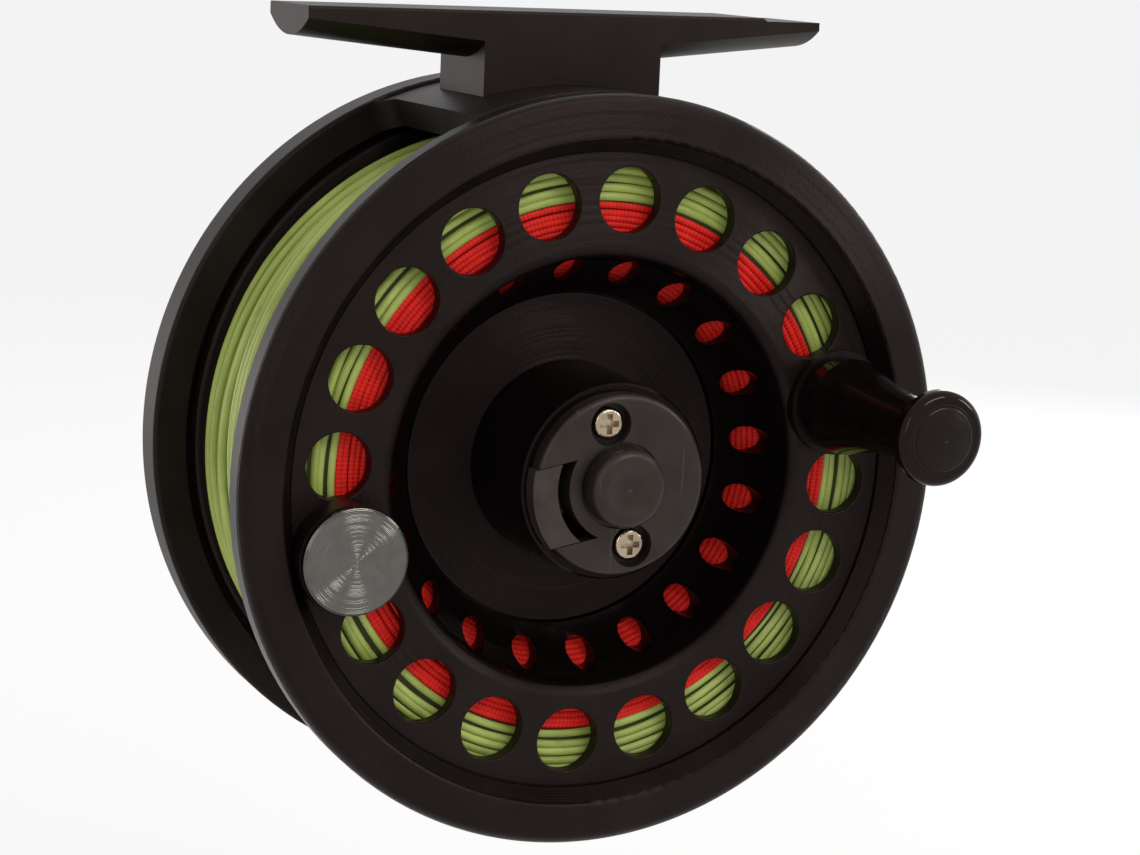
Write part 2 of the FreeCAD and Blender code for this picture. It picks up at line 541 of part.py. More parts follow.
# Spool: one casting. The section runs out along the front, round the rim and back along the line side.
lip_depth = size["face_depth"] + size["lip_round"]
bowl_foot_radius = size["web_radius"] + size["land_groove"]
bowl_foot_depth = size["bowl_depth"] + chord(size["bowl_curve"], bowl_foot_radius - size["bowl_ring_radius"])
bowl_lip = size["bowl_ring_radius"] + chord(size["bowl_curve"], lip_depth - size["bowl_depth"])
outer_curve = size["bowl_curve"] + size["bowl_wall"]
outer_lip = size["bowl_ring_radius"] + chord(outer_curve, face_back - size["bowl_depth"])
outer_foot = size["bowl_depth"] + chord(outer_curve, size["arbor_radius"] - size["bowl_ring_radius"])
sleeve_end = cover_front - size["sleeve_gap"]
sleeve_outer = size["clutch_radius"] + size["sleeve_wall"]
spool = turned("spool", (
    (size["bush_radius"], pocket_floor), (size["pocket_radius"], pocket_floor),
    (size["pocket_radius"], tower_face), (size["tower_front"] - size["tower_chamfer"], tower_face),
    (size["tower_front"], tower_face + size["tower_chamfer"]),
    (size["tower_base"], size["web_depth"]), (size["web_radius"], size["web_depth"]),
    (size["web_radius"], size["web_depth"] + size["web_groove"]),
    (bowl_foot_radius, size["web_depth"] + size["web_groove"]),
    (bowl_foot_radius, bowl_foot_depth, -size["bowl_curve"]),
    (bowl_lip, lip_depth, size["lip_round"]), (bowl_lip + size["lip_round"], size["face_depth"]),
    (size["land_radius"] - size["land_groove"], size["face_depth"]),
    (size["land_radius"] - size["land_groove"], size["face_depth"] + size["land_groove"]),
    (size["land_radius"], size["face_depth"] + size["land_groove"]),
    (size["land_radius"], size["face_depth"] - size["land_groove"]),
    (size["rim_inner"] - size["rim_lip"], rim_face + size["rim_lip"], size["rim_lip"]),
    (size["rim_inner"], rim_face),
    (size["rim_radius"] - size["rim_round"], rim_face, size["rim_round"]),
    (size["rim_radius"], rim_face + size["rim_round"]),
    (size["rim_radius"], size["rim_width"] - size["rim_back_round"], size["rim_back_round"]),
    (size["rim_radius"] - size["rim_back_round"], size["rim_width"]),
    (outer_lip, face_back, outer_curve), (size["arbor_radius"], outer_foot),
    (size["arbor_radius"], size["flange_depth"]), (size["flange_radius"] - size["flange_round"],
                                                   size["flange_depth"], size["flange_round"]),
    (size["flange_radius"], size["flange_depth"] + size["flange_round"]),
    (size["flange_radius"], flange_back), (arbor_bore, flange_back), (arbor_bore, web_back),
    (sleeve_outer, web_back), (sleeve_outer, sleeve_end), (size["clutch_radius"], sleeve_end),
    (size["clutch_radius"], web_back), (size["bush_radius"], web_back)))
face_holes = front_sketch(spool, size["face_depth"] - LEAD)
face_hole_pitch = as_size(360) / size["face_hole_count"]
places = int(size["face_hole_count"].value)
for place in range(places):
    if place not in (0, places // 2):
        hole_angle = size["handle_angle"] + face_hole_pitch * place
        ring(face_holes, polar(size["face_hole_circle"], hole_angle), size["face_hole_radius"])
pocket(spool, face_holes, size["face_thickness"] + LEAD * 2)


def at_face_hole(edge):
    """Rim of a hole, where it opens on the spool's front face."""
    flat = abs(edge.BoundBox.YMin - size["face_depth"].value) < 1e-3 and edge.BoundBox.YLength < 1e-3
    circle = edge.Curve.TypeId == "Part::GeomCircle"
    return flat and circle and abs(edge.Curve.Radius - size["face_hole_radius"].value) < 1e-3


soften(spool, size["face_hole_round"], at_face_hole)
arbor_holes = front_sketch(spool, size["face_depth"])
ring(arbor_holes, polar(size["arbor_hole_circle"], size["handle_angle"] + face_hole_pitch / 2),
     size["arbor_hole_radius"])
arbor_cut = pocket(spool, arbor_holes, size["web_depth"])
pattern(spool, arbor_cut, size["face_hole_count"])
handle_at = polar(size["face_hole_circle"], size["handle_angle"])
weight_at = polar(size["face_hole_circle"], size["handle_angle"] + 180)
for centre, top in ((handle_at, handle_boss_face), (weight_at, weight_boss_face)):
    boss_sketch = front_sketch(spool, top)
    ring(boss_sketch, centre, size["boss_top_radius"])
    pad(spool, boss_sketch, face_back - top)
pin_bore_sketch = front_sketch(spool, handle_boss_face)
ring(pin_bore_sketch, handle_at, size["pin_shaft_radius"] + size["fixed_fit"])
pocket(spool, pin_bore_sketch, face_back - handle_boss_face)
rivet_depth = face_back - size["pin_rivet_height"]
rivet_sketch = front_sketch(spool, rivet_depth)
ring(rivet_sketch, handle_at, size["pin_rivet_radius"] + size["fixed_fit"])
pocket(spool, rivet_sketch, size["pin_rivet_height"])
slug_sketch = front_sketch(spool, weight_boss_face)
ring(slug_sketch, weight_at, size["weight_slug_radius"] + size["fixed_fit"])
slug_end = weight_boss_face + size["weight_slug_length"]
pocket(spool, slug_sketch, slug_end - weight_boss_face + size["fixed_fit"])
weight_screw_front = face_back - size["weight_screw_head_height"]
for radius, start in ((size["cap_screw_shank"] + size["fixed_fit"], slug_end),
                      (size["weight_screw_head"] + size["fixed_fit"], weight_screw_front)):
    weight_hole = front_sketch(spool, start)
    ring(weight_hole, weight_at, radius)
    pocket(spool, weight_hole, face_back - start)
screw_boss_front = spigot_end + size["fixed_fit"]
screw_bosses = front_sketch(spool, screw_boss_front)
cap_screw_at = polar(size["cap_screw_circle"], size["cap_screw_angle"])
ring(screw_bosses, cap_screw_at, size["screw_boss_radius"])
pattern(spool, pad(spool, screw_bosses, pocket_floor - screw_boss_front), as_size(2))
cap_thread = front_sketch(spool, screw_boss_front)
ring(cap_thread, cap_screw_at, size["cap_screw_shank"] + size["fixed_fit"])
cap_screw_seat = cap_face + size["cap_counterbore_depth"]
cap_screw_end = cap_screw_seat + size["cap_screw_length"]
pattern(spool, pocket(spool, cap_thread, cap_screw_end - screw_boss_front + size["head_gap"]), as_size(2))

# Bushes: flanged bronze, one at each end of the spool's bore.
bush_outer = size["bush_radius"] - size["fixed_fit"]
front_flange = pocket_floor - size["bush_flange"]
turned("front_bush", (
    (shaft_bore, front_flange), (size["bush_flange_radius"], front_flange),
    (size["bush_flange_radius"], pocket_floor), (bush_outer, pocket_floor),
    (bush_outer, pocket_floor + size["bush_length"]),
    (shaft_bore, pocket_floor + size["bush_length"])))
turned("rear_bush", (
    (shaft_bore, web_back - size["bush_length"]), (bush_outer, web_back - size["bush_length"]),
    (bush_outer, web_back), (size["bush_flange_radius"], web_back),
    (size["bush_flange_radius"], web_back + size["bush_flange"]),
    (shaft_bore, web_back + size["bush_flange"])))

# One-way bearing: pressed in the spool's sleeve, it turns the drag rotor only as line runs out.
clutch_front = web_back + size["bush_flange"] + size["drag_gap"] * 4
clutch_back = sleeve_end - size["clutch_inset"]
clutch_outer = size["clutch_radius"] - size["fixed_fit"]
turned("one_way_bearing", (
    (size["clutch_bore"], clutch_front), (clutch_outer - size["edge_chamfer"], clutch_front),
    (clutch_outer, clutch_front + size["edge_chamfer"]), (clutch_outer, clutch_back - size["edge_chamfer"]),
    (clutch_outer - size["edge_chamfer"], clutch_back), (size["clutch_bore"], clutch_back)))

# Drag rotor: steel disc on a long hub that reaches forward through the one-way bearing.
turned("drag_rotor", (
    (shaft_bore, clutch_front), (rotor_hub_radius, clutch_front),
    (rotor_hub_radius, rotor_front), (disc_radius, rotor_front),
    (disc_radius, rotor_back), (shaft_bore, rotor_back)))

# Drag cover: a cup over the boss. Its front wall takes the drag's thrust.
cover_bore = size["boss_radius"] + size["fixed_fit"]
cover_radius = cover_bore + size["cover_wall"]
rotor_clear = rotor_hub_radius + size["drag_gap"] * 6
turned("drag_cover", (
    (rotor_clear, cover_front), (cover_radius - size["edge_chamfer"], cover_front),
    (cover_radius, cover_front + size["edge_chamfer"]), (cover_radius, plate_face), (cover_bore, plate_face),
    (cover_bore, cover_front + size["cover_wall_front"]),
    (rotor_clear, cover_front + size["cover_wall_front"])))

# Drag discs: two carbon washers, one each side of the rotor.
discs = make_body("drag_discs")
for depth in (disc_stack_front, rear_disc_front):
    disc_sketch = front_sketch(discs, depth)
    ring(disc_sketch, (ZERO, ZERO), disc_radius)
    ring(disc_sketch, (ZERO, ZERO), rotor_clear)
    pad(discs, disc_sketch, size["disc_thickness"])

# Pressure plate, and the wave spring that the push pins carry behind it.
turned("pressure_plate", (
    (shaft_bore, pressure_front), (disc_radius, pressure_front),
    (disc_radius, pressure_back), (shaft_bore, pressure_back)))
turned("drag_spring", (
    (size["spring_bore"], spring_front), (size["spring_radius"], spring_front),
    (size["spring_radius"], spring_back), (size["spring_bore"], spring_back)))

# Push pins: three, through the plate from the nut to the spring.
push_pins = make_body("push_pins")
pin_sketch = front_sketch(push_pins, spring_back)
ring(pin_sketch, polar(size["pin_circle"], size["pin_angle"]), size["pin_radius"])
pattern(push_pins, pad(push_pins, pin_sketch, nut_front - spring_back), size["pin_count"])

# Drag nut: brass, threaded in the knob and kept from turning by the push pins.
turned("drag_nut", (
    (size["journal_radius"] + size["running_fit"], nut_front),
    (size["nut_radius"] - size["running_fit"], nut_front),
    (size["nut_radius"] - size["running_fit"], nut_front + size["nut_thickness"]),
    (size["journal_radius"] + size["running_fit"], nut_front + size["nut_thickness"])))

# Drag knob: a scalloped cap on the shaft's rear journal, and the screw that holds it there.
screw_recess = journal_end + size["drag_gap"]
knob = turned("drag_knob", (
    (size["journal_radius"] + size["running_fit"], knob_floor_front),
    (size["nut_radius"], knob_floor_front), (size["nut_radius"], knob_front),
    (size["knob_radius"] - size["edge_chamfer"], knob_front),
    (size["knob_radius"], knob_front + size["edge_chamfer"]),
    (size["knob_radius"], knob_back - size["knob_round"], size["knob_round"]),
    (size["knob_radius"] - size["knob_round"], knob_back),
    (size["knob_screw_radius"] + size["head_gap"] * 2, knob_back),
    (size["knob_screw_radius"] + size["head_gap"] * 2, screw_recess),
    (size["journal_radius"] + size["running_fit"], screw_recess)))
scallop_sketch = front_sketch(knob, knob_front)
scallop_reach = size["knob_radius"] + size["knob_scallop"] - size["knob_scallop_depth"]
ring(scallop_sketch, (scallop_reach, ZERO), size["knob_scallop"])
pattern(knob, pocket(knob, scallop_sketch, size["knob_height"]), size["knob_scallops"])
screw_head_front = screw_recess + size["drag_gap"]
screw_head_back = screw_head_front + size["knob_screw_head"]
knob_screw = turned("knob_screw", (
    (ZERO, thread_end + size["head_gap"]), (size["knob_screw_shank"], thread_end + size["head_gap"]),
    (size["knob_screw_shank"], screw_head_front), (size["knob_screw_radius"], screw_head_front),
    (size["knob_screw_radius"], screw_head_back - size["edge_chamfer"], size["edge_chamfer"]),
    (size["knob_screw_radius"] - size["edge_chamfer"], screw_head_back), (ZERO, screw_head_back)))
slot_front = screw_head_back - size["recess_depth"]
slot_sketch = front_sketch(knob_screw, slot_front)
slot_half = size["recess_width"] / 2
draw(slot_sketch, ((-size["knob_screw_radius"], -slot_half), (size["knob_screw_radius"], -slot_half),
                   (size["knob_screw_radius"], slot_half), (-size["knob_screw_radius"], slot_half)))
pocket(knob_screw, slot_sketch, size["recess_depth"])

# Click ring: pressed in the back of the arbor, toothed inside.
click_bore = arbor_bore - size["click_ring_wall"]
click_front = flange_back - size["click_ring_depth"]
click = turned("click_ring", (
    (click_bore, click_front), (arbor_bore - size["fixed_fit"], click_front),
    (arbor_bore - size["fixed_fit"], flange_back), (click_bore, flange_back)))
tooth_sketch = front_sketch(click, click_front)
tooth_half = click_bore * math.pi / size["click_teeth"] * size["click_tooth_share"]
draw(tooth_sketch, ((click_bore - size["click_tooth"], -tooth_half),
                    (click_bore + size["click_tooth"], ZERO), (click_bore - size["click_tooth"], tooth_half)))
pattern(click, pocket(click, tooth_sketch, size["click_ring_depth"]), size["click_teeth"])

# Click pawl: a hub and nose on a pin, with a coil spring round the pin behind it.
pawl_front = click_front + size["running_fit"] * 4
pawl = make_body("click_pawl")
pawl_sketch = front_sketch(pawl, pawl_front)
nose_angle = size["pawl_pivot_angle"]
ring(pawl_sketch, pawl_pivot, size["pawl_hub_radius"])
ring(pawl_sketch, pawl_pivot, size["pawl_pin_radius"] + size["running_fit"])
pad(pawl, pawl_sketch, size["pawl_thickness"])
nose_sketch = front_sketch(pawl, pawl_front)
nose_tip = click_bore - size["pawl_gap"]
nose_base = size["pawl_pivot_circle"] + size["pawl_pin_radius"] + size["running_fit"] * 3
nose_root = size["pawl_nose"] * 2


def radial(along, across):
    """Point that far out along the pawl's radius and across it."""
    return (along * cosine(nose_angle) - across * sine(nose_angle),
            along * sine(nose_angle) + across * cosine(nose_angle))


draw(nose_sketch, (radial(nose_base, -nose_root), radial(nose_tip, -size["pawl_nose"] / 2),
                   radial(nose_tip, size["pawl_nose"] / 2), radial(nose_base, nose_root)))
pad(pawl, nose_sketch, size["pawl_thickness"])
pin_end = plate_face + size["plate_thickness"] / 2
pin_neck = pawl_front - size["running_fit"] * 2
turned("pawl_pin", (
    (ZERO, pin_neck - size["pawl_pin_head"]), (size["pawl_hub_radius"], pin_neck - size["pawl_pin_head"]),
    (size["pawl_hub_radius"], pin_neck), (size["pawl_pin_radius"], pin_neck),
    (size["pawl_pin_radius"], pin_end), (ZERO, pin_end)), pawl_pivot[0], ZERO, pawl_pivot[1])
coil_front = pawl_front + size["pawl_thickness"] + size["running_fit"] * 2
coil_bore = size["pawl_pin_radius"] + size["fixed_fit"]
turned("pawl_spring", (
    (coil_bore, coil_front), (coil_bore + size["coil_wire"], coil_front),
    (coil_bore + size["coil_wire"], plate_face), (coil_bore, plate_face)),
    pawl_pivot[0], ZERO, pawl_pivot[1])

# Hub cap: a round plate with a spigot, a window for the latch and two counterbored screw holes.
cap = turned("hub_cap", (
    (size["button_stem"] + size["fixed_fit"], cap_face + size["button_recess"]),
    (size["button_radius"] + size["head_gap"] * 3, cap_face + size["button_recess"]),
    (size["button_radius"] + size["head_gap"] * 3, cap_face),
    (size["cap_radius"] - size["cap_round"], cap_face, size["cap_round"]),
    (size["cap_radius"], cap_face + size["cap_round"]), (size["cap_radius"], tower_face),
    (size["pocket_radius"] - size["running_fit"], tower_face),
    (size["pocket_radius"] - size["running_fit"], spigot_end),
    (size["cap_cavity_radius"], spigot_end),
    (size["cap_cavity_radius"], spigot_end - size["cap_cavity_depth"]),
    (size["button_stem"] + size["fixed_fit"], spigot_end - size["cap_cavity_depth"])))


def slid(along, across):
    """Point that far out towards the latch's tab and across its slide."""
    return (along * cosine(size["latch_angle"]) - across * sine(size["latch_angle"]),
            along * sine(size["latch_angle"]) + across * cosine(size["latch_angle"]))


window_sketch = front_sketch(cap, cap_face)
above, below = size["window_above"], -size["window_below"]
window_far = size["cap_radius"] + 2
draw(window_sketch, (slid(window_far, below), slid(window_far, above),
                     slid(chord(size["window_arc"], above), above) + (-size["window_arc"],),
                     slid(chord(size["window_arc"], below), below)))
pocket(cap, window_sketch, spigot_end - cap_face)
counterbore = front_sketch(cap, cap_face)
ring(counterbore, cap_screw_at, size["cap_counterbore_radius"])
pattern(cap, pocket(cap, counterbore, size["cap_counterbore_depth"]), as_size(2))
clearance = front_sketch(cap, cap_screw_seat)
ring(clearance, cap_screw_at, size["cap_screw_shank"] + size["fixed_fit"])
pattern(cap, pocket(cap, clearance, spigot_end - cap_screw_seat), as_size(2))
machine_screw("hub_cap_screws", size["cap_screw_head"], size["cap_screw_head_height"],
              size["cap_screw_shank"], size["cap_screw_length"], cap_screw_seat, cap_screw_at, as_size(2))

# Centre cap: a dished button on a stem, pressed into the hub cap.
dish_curve = (size["button_dish_radius"] * size["button_dish_radius"]
              + size["button_dish"] * size["button_dish"]) / (size["button_dish"] * 2)
button_face = cap_face - size["button_height"]
turned("spindle_cap", (
    (ZERO, button_face + size["button_dish"], -dish_curve), (size["button_dish_radius"], button_face),
    (size["button_radius"] - size["button_round"], button_face, size["button_round"]),
    (size["button_radius"], button_face + size["button_round"]),
    (size["button_radius"], cap_face + size["button_recess"]),
    (size["button_stem"], cap_face + size["button_recess"]),
    (size["button_stem"], spigot_end - size["cap_cavity_depth"]),
    (ZERO, spigot_end - size["cap_cavity_depth"])))

# Release latch: a tab in the cap's window on a leg, and a plate that hooks the shaft's groove.
latch = make_body("release_latch")
tab_front = cap_face + size["running_fit"]
tab_above, tab_below = above - size["latch_side_gap"], below + size["latch_side_gap"]
tab_sketch = front_sketch(latch, tab_front)
draw(tab_sketch, (
    slid(chord(size["tab_inner"], tab_below), tab_below),
    slid(chord(size["tab_outer"], tab_below), tab_below) + (size["tab_outer"],),
    slid(chord(size["tab_outer"], tab_above), tab_above),
    slid(chord(size["tab_inner"], tab_above), tab_above) + (-size["tab_inner"],)))
pad(latch, tab_sketch, tower_face - size["running_fit"] - tab_front)
leg_half = size["latch_plate_half"]
leg_sketch = front_sketch(latch, tower_face - size["running_fit"])
draw(leg_sketch, (slid(size["tab_inner"], -leg_half), slid(size["latch_leg_outer"], -leg_half),
                  slid(size["latch_leg_outer"], leg_half), slid(size["tab_inner"], leg_half)))
pad(latch, leg_sketch, latch_plate_front - tower_face + size["running_fit"])
plate_sketch = front_sketch(latch, latch_plate_front)
plate_far = -size["latch_plate_end"]
draw(plate_sketch, (slid(plate_far, -leg_half), slid(size["latch_leg_outer"], -leg_half),
                    slid(size["latch_leg_outer"], leg_half), slid(plate_far, leg_half)))
pad(latch, plate_sketch, size["latch_plate_thickness"])
keyhole_radius = size["shaft_radius"] + size["latch_hole_play"]
wings = front_sketch(latch, latch_plate_front)
ring(wings, slid(size["latch_travel"], ZERO), keyhole_radius + size["latch_wing"])
pad(latch, wings, size["latch_plate_thickness"])
keyhole = front_sketch(latch, latch_plate_front)
ring(keyhole, slid(size["latch_travel"], ZERO), keyhole_radius)
pocket(latch, keyhole, size["latch_plate_thickness"])

# Latch spring: it pushes the plate out towards the tab.
latch_spring = make_body("latch_spring")
spring_wall = size["pocket_radius"] - size["head_gap"]
spring_sketch = make_sketch(latch_spring, "YZ_Plane")
spring_centre = latch_plate_front + size["latch_plate_thickness"] / 2
ring(spring_sketch, (spring_centre, ZERO), size["latch_spring_radius"])
ring(spring_sketch, (spring_centre, ZERO), size["latch_spring_bore"])
spring_start = size["latch_plate_end"] + size["running_fit"]
spring_sketch.setExpression("AttachmentOffset.Base.z", spring_start.text)
pad(latch_spring, spring_sketch, spring_wall - spring_start - size["head_gap"], backwards=False)
latch_spring.Placement.Rotation = FreeCAD.Rotation(FreeCAD.Vector(0, 1, 0), 1)
latch_spring.setExpression("Placement.Rotation.Angle", (as_size(180) - size["latch_angle"]).text)

# Counterweight: a steel disc on a slug in the boss opposite the handle, and its screw.
weight_face = weight_boss_face - size["weight_head"]
weight = turned("counterweight", (
    (ZERO, weight_face), (size["weight_radius"] - size["weight_chamfer"], weight_face),
    (size["weight_radius"], weight_face + size["weight_chamfer"]),
    (size["weight_radius"], weight_boss_face), (size["weight_slug_radius"], weight_boss_face),
    (size["weight_slug_radius"], slug_end), (ZERO, slug_end)), weight_at[0], ZERO, weight_at[1])
weight_thread = front_sketch(weight, slug_end - size["weight_screw_length"] + size["head_gap"] * 4)
ring(weight_thread, (ZERO, ZERO), size["cap_screw_shank"] + size["fixed_fit"])
pocket(weight, weight_thread, size["weight_screw_length"])
weight_screw_tip = slug_end - size["weight_screw_length"] + size["head_gap"] * 5
turned("counterweight_screw", (
    (ZERO, weight_screw_tip), (size["cap_screw_shank"], weight_screw_tip),
    (size["cap_screw_shank"], weight_screw_front + size["fixed_fit"]),
    (size["weight_screw_head"], weight_screw_front + size["fixed_fit"]),
    (size["weight_screw_head"], face_back), (ZERO, face_back)), weight_at[0], ZERO, weight_at[1])

# Handle: a riveted pin, a thin washer, the turned knob and the plug that closes its end.
washer_back = handle_boss_face - size["drag_gap"]
washer_front = washer_back - size["washer_thickness"]
knob_base = washer_front - size["drag_gap"]
handle_end = knob_base - size["handle_length"]
cap_seat = handle_end + size["end_cap_depth"]
cavity_floor = cap_seat + size["pin_cavity_depth"]
pin_bore = size["pin_shaft_radius"] + size["running_fit"]
end_under = handle_end + size["handle_end_round"] + size["handle_end_thickness"]
neck_depth = handle_end + size["handle_neck_depth"]
base_front = knob_base - size["handle_base_height"]
turned("handle_knob", (
    (pin_bore, cavity_floor), (size["pin_head_radius"] + size["head_gap"] * 2, cavity_floor),
    (size["pin_head_radius"] + size["head_gap"] * 2, cap_seat),
    (size["end_cap_radius"] + size["fixed_fit"], cap_seat),
    (size["end_cap_radius"] + size["fixed_fit"], handle_end),
    (size["handle_end_radius"] - size["handle_end_round"], handle_end, size["handle_end_round"]),
    (size["handle_end_radius"], handle_end + size["handle_end_round"]),
    (size["handle_end_radius"], end_under, -size["handle_neck_curve"]),
    (size["handle_neck_radius"], neck_depth, -size["handle_waist_curve"]),
    (size["handle_base_radius"], base_front),
    (size["handle_base_radius"], knob_base - size["handle_base_round"], size["handle_base_round"]),
    (size["handle_base_radius"] - size["handle_base_round"], knob_base), (pin_bore, knob_base)),
    handle_at[0], ZERO, handle_at[1])
end_cap_curve = (size["end_cap_radius"] * size["end_cap_radius"]
                 + size["end_cap_crown"] * size["end_cap_crown"]) / (size["end_cap_crown"] * 2)
turned("handle_end_cap", (
    (ZERO, handle_end - size["end_cap_crown"], end_cap_curve), (size["end_cap_radius"], handle_end),
    (size["end_cap_radius"], cap_seat), (ZERO, cap_seat)), handle_at[0], ZERO, handle_at[1])
pin_head_back = cavity_floor - size["drag_gap"]
pin_head_front = pin_head_back - size["pin_head_height"]
turned("handle_pin", (
    (ZERO, pin_head_front), (size["pin_head_radius"], pin_head_front),
    (size["pin_head_radius"], pin_head_back), (size["pin_shaft_radius"], pin_head_back),
    (size["pin_shaft_radius"], rivet_depth + size["fixed_fit"]),
    (size["pin_rivet_radius"], rivet_depth + size["fixed_fit"]),
    (size["pin_rivet_radius"], face_back), (ZERO, face_back)), handle_at[0], ZERO, handle_at[1])
turned("handle_washer", (
    (pin_bore, washer_front), (size["washer_radius"], washer_front),
    (size["washer_radius"], washer_back), (pin_bore, washer_back)), handle_at[0], ZERO, handle_at[1])

# Line: braided backing wound on the arbor and fly line over it, each as its wound shape.
wound_front = face_back + size["line_front_gap"]
wound_back = size["flange_depth"] - size["line_back_gap"]
wound_curve = outer_curve + size["bowl_clearance"]
wound_bore = size["arbor_radius"] + size["fixed_fit"]
turned("backing", (
    (size["bowl_ring_radius"] + chord(wound_curve, wound_front - size["bowl_depth"]), wound_front),
    (size["backing_radius"], wound_front), (size["backing_radius"], wound_back),
    (wound_bore, wound_back),
    (wound_bore, size["bowl_depth"] + chord(wound_curve, wound_bore - size["bowl_ring_radius"]),
     -wound_curve)))
half_wound = (wound_back - wound_front) / 2
line_curve = (half_wound * half_wound + size["line_crown"] * size["line_crown"]) / (size["line_crown"] * 2)
turned("fly_line", (
    (size["backing_radius"], wound_front), (size["line_front_radius"], wound_front, line_curve),
    (size["line_back_radius"], wound_back), (size["backing_radius"], wound_back)))

doc.recompute()
for thing in doc.Objects:
    if "Invalid" in thing.State or "Error" in thing.State:
        raise RuntimeError(f"{thing.Label} did not build: {thing.State}")
for node in nodes:
    if node.Shape.isNull() or not node.Shape.isValid() or not node.Shape.Solids:
        raise RuntimeError(f"{node.Label} has no valid solid")
os.makedirs("parts", exist_ok=True)
for node in nodes:
    node.Shape.exportStep(f"parts/{node.Label}.step")
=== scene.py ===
"""The looks of a fly reel, put together in the order in which a reel is: casting, spool, line, hub, handle.

Lengths are in metres. Round pieces are described by radius and angle round the spool's axis, with the
angle in degrees from +X towards +Z, and by depth along +Y behind the plane of the spool's front rim.
"""
import json
import math

import bmesh
import bpy
import numpy as np
from mathutils import Matrix, Vector


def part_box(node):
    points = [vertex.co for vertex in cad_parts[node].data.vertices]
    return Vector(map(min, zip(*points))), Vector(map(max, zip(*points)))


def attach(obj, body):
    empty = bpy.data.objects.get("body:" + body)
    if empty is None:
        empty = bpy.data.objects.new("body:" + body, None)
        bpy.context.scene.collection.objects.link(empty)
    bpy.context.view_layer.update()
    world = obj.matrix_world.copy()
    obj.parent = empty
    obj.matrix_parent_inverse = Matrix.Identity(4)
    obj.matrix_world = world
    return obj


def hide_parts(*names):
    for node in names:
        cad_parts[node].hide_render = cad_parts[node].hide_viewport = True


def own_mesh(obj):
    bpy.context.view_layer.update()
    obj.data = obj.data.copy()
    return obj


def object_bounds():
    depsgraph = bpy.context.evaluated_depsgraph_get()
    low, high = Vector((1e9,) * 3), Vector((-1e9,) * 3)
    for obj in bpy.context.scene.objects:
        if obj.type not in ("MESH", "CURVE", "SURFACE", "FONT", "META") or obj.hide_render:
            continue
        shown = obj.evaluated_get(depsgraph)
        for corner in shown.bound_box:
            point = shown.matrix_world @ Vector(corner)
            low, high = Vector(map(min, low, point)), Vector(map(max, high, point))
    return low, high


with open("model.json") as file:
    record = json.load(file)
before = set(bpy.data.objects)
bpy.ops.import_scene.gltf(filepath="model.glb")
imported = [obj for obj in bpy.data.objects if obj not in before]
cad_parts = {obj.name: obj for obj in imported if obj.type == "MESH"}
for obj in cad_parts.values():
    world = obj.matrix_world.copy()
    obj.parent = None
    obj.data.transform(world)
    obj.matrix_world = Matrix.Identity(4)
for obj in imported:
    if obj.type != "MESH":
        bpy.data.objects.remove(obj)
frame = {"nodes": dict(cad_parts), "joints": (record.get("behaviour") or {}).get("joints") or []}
cad_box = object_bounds()
nodes = frame["nodes"]


# ---- Frame and foot -------------------------------------------------------------------------------
# The frame and the foot are cast aluminium, bead blasted and hard anodised: nearly black with a warm
# cast, slightly mottled, with a fine tooth that scatters the light into broad soft highlights.

class Wire:
    """A socket in a material. Arithmetic on it adds the Math nodes that work it out."""

    def __init__(self, tree, socket=None):
        self.tree = tree
        self.socket = socket

    def node(self, kind, sockets, output=0, **settings):
        """Add a node: its settings first, then the values or links of its sockets."""
        made = self.tree.nodes.new("ShaderNode" + kind)
        for setting, value in settings.items():
            setattr(made, setting, value)
        for place, value in sockets.items():
            if isinstance(value, Wire):
                self.tree.links.new(value.socket, made.inputs[place])
            else:
                made.inputs[place].default_value = value
        return Wire(self.tree, made.outputs[output] if made.outputs else None)

    def maths(self, operation, *values):
        return self.node("Math", dict(enumerate(values)), operation=operation)

    def __add__(self, other):
        return self.maths("ADD", self, other)

    def __sub__(self, other):
        return self.maths("SUBTRACT", self, other)

    def __rsub__(self, other):
        return self.maths("SUBTRACT", other, self)

    def __mul__(self, other):
        return self.maths("MULTIPLY", self, other)

    __radd__ = __add__
    __rmul__ = __mul__

    def between(self, low, high):
        """0 below low and 1 above high, with a smooth step between them."""
        return self.node("MapRange", {0: self, 1: low, 2: high}, interpolation_type="SMOOTHSTEP")

    def noise(self, place, scale, detail=3.0):
        """Fractal noise from 0 to 1."""
        return self.node("TexNoise", {"Vector": place, "Scale": scale, "Detail": detail})

    def blend(self, amount, low, high):
        """A colour between two others. Each is a wire or three numbers."""
        ends = [shade if isinstance(shade, Wire) else (*shade, 1) for shade in (low, high)]
        return self.node("Mix", {0: amount, 6: ends[0], 7: ends[1]}, output=2, data_type="RGBA")

    def bump(self, height, depth):
        """A normal from a height from 0 to 1 that stands for a depth in metres."""
        return self.node("Bump", {"Height": height, "Distance": depth, "Strength": 1.0})

    def object_place(self):
        return self.node("TexCoord", {}, output="Object")


def new_material(name):
    """An empty material, as a Wire with no socket yet."""
    material = bpy.data.materials.new(name)
    material.use_nodes = True
    material.node_tree.nodes.clear()
    return material, Wire(material.node_tree)


def surface(start, **sockets):
    """A Principled surface. Underscores stand for spaces in its sockets' names."""
    return start.node("BsdfPrincipled", {place.replace("_", " "): value for place, value in sockets.items()})


def coat_with(material, start, **sockets):
    """Finish a material with one Principled surface."""
    start.node("OutputMaterial", {"Surface": surface(start, **sockets)})
    return material


def dress(piece, material):
    """Give a piece one material."""
    piece.data.materials.clear()
    piece.data.materials.append(material)


WARM = (1, 0.76, 0.7, 1)


